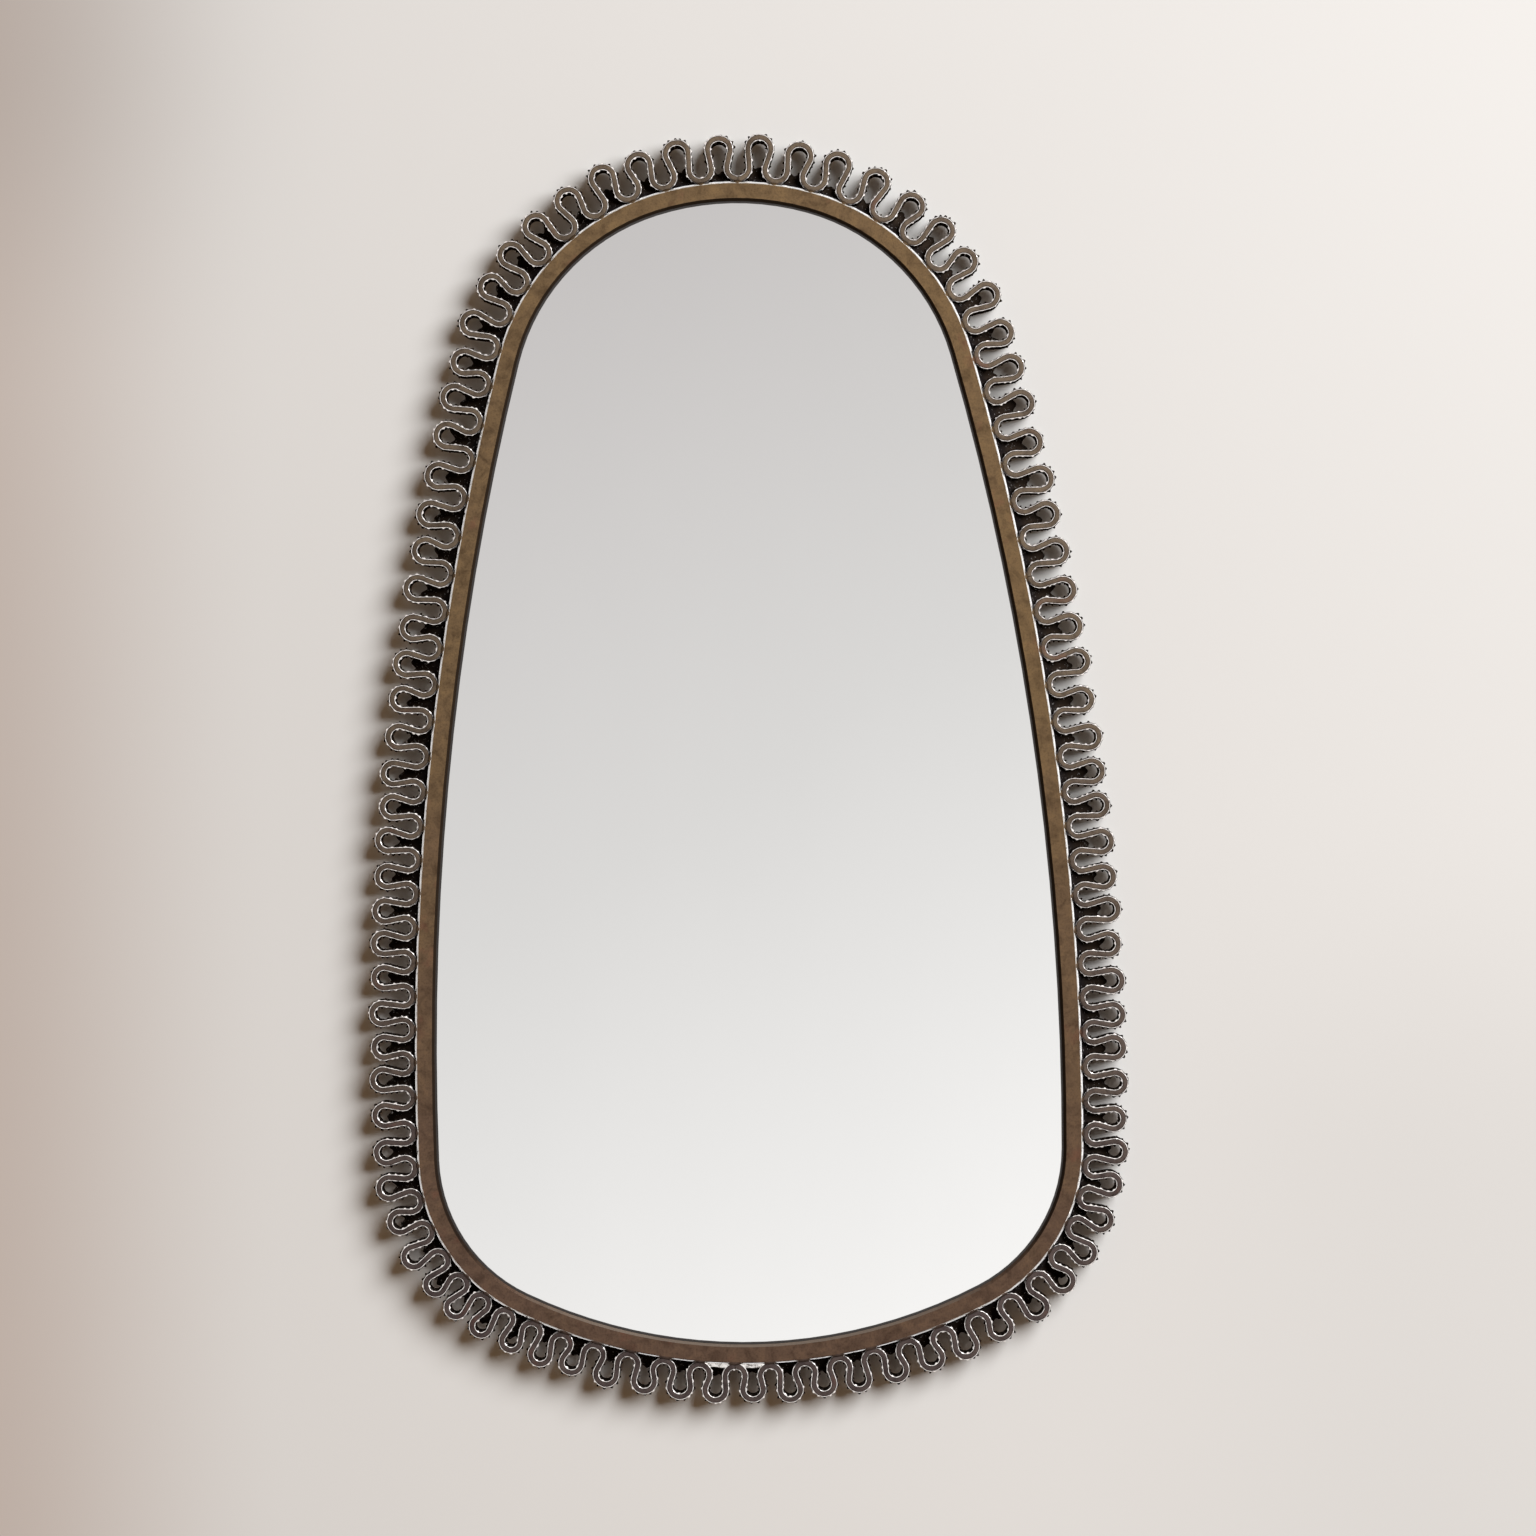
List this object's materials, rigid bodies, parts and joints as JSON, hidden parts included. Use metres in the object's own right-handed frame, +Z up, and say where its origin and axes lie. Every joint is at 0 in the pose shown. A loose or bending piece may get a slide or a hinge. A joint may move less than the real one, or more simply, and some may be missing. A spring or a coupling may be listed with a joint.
{
  "type": "wall mirror",
  "caption": "Egg-shaped wall mirror in a flat brass rim, edged all round by a brass strip bent into loops, with a board back held by turn buttons and a keyhole hanger.",
  "frame": {"origin": "centre of the keyhole's round hole, on the rear face of the hanger plate", "axes": "+Z up as hung, +Y from the viewer to the wall, +X to the viewer's right"},
  "size_m": [0.4187, 0.02, 0.7002],
  "materials": {
    "mirror": "silvered glass",
    "glazing": "matt dark packing",
    "rim_brass": "aged, satin, brown patina",
    "strip_brass": "aged, satin, worn bright edges",
    "hardware_brass": "dull, lightly tarnished",
    "felt": "grey felt",
    "board": "brown hardboard",
    "steel": "zinc-plated, dull"
  },
  "bodies": {
    "mirror": {"mirror_glass": "mirror", "glazing_strip": "glazing", "face_ring": "rim_brass", "side_band": "rim_brass", "backing_felt": "felt", "backing_board": "board", "fixing_lugs": "hardware_brass", "button_screws": "steel", "hanger_plate": "hardware_brass", "hanger_screws": "steel", "loop_strip_top_right": "strip_brass", "loop_strip_right": "strip_brass", "loop_strip_bottom_right": "strip_brass", "loop_strip_bottom_left": "strip_brass", "loop_strip_left": "strip_brass", "loop_strip_top_left": "strip_brass"},
    "button_1": {"turn_button_1": "hardware_brass"},
    "button_2": {"turn_button_2": "hardware_brass"},
    "button_3": {"turn_button_3": "hardware_brass"},
    "button_4": {"turn_button_4": "hardware_brass"},
    "button_5": {"turn_button_5": "hardware_brass"},
    "button_6": {"turn_button_6": "hardware_brass"}
  },
  "joints": [
    {"name": "button_1_turn", "type": "hinge", "parent": "mirror", "child": "button_1", "pos_m": [0.10651, 0, 0.02775], "axis": [0, 1, 0], "range_deg": [-90, 90]},
    {"name": "button_2_turn", "type": "hinge", "parent": "mirror", "child": "button_2", "pos_m": [0.16847, 0, -0.25184], "axis": [0, 1, 0], "range_deg": [-90, 90]},
    {"name": "button_3_turn", "type": "hinge", "parent": "mirror", "child": "button_3", "pos_m": [0.149, 0, -0.51286], "axis": [0, 1, 0], "range_deg": [-90, 90]},
    {"name": "button_4_turn", "type": "hinge", "parent": "mirror", "child": "button_4", "pos_m": [-0.149, 0, -0.51286], "axis": [0, 1, 0], "range_deg": [-90, 90]},
    {"name": "button_5_turn", "type": "hinge", "parent": "mirror", "child": "button_5", "pos_m": [-0.16847, 0, -0.25184], "axis": [0, 1, 0], "range_deg": [-90, 90]},
    {"name": "button_6_turn", "type": "hinge", "parent": "mirror", "child": "button_6", "pos_m": [-0.10651, 0, 0.02775], "axis": [0, 1, 0], "range_deg": [-90, 90]}
  ]
}
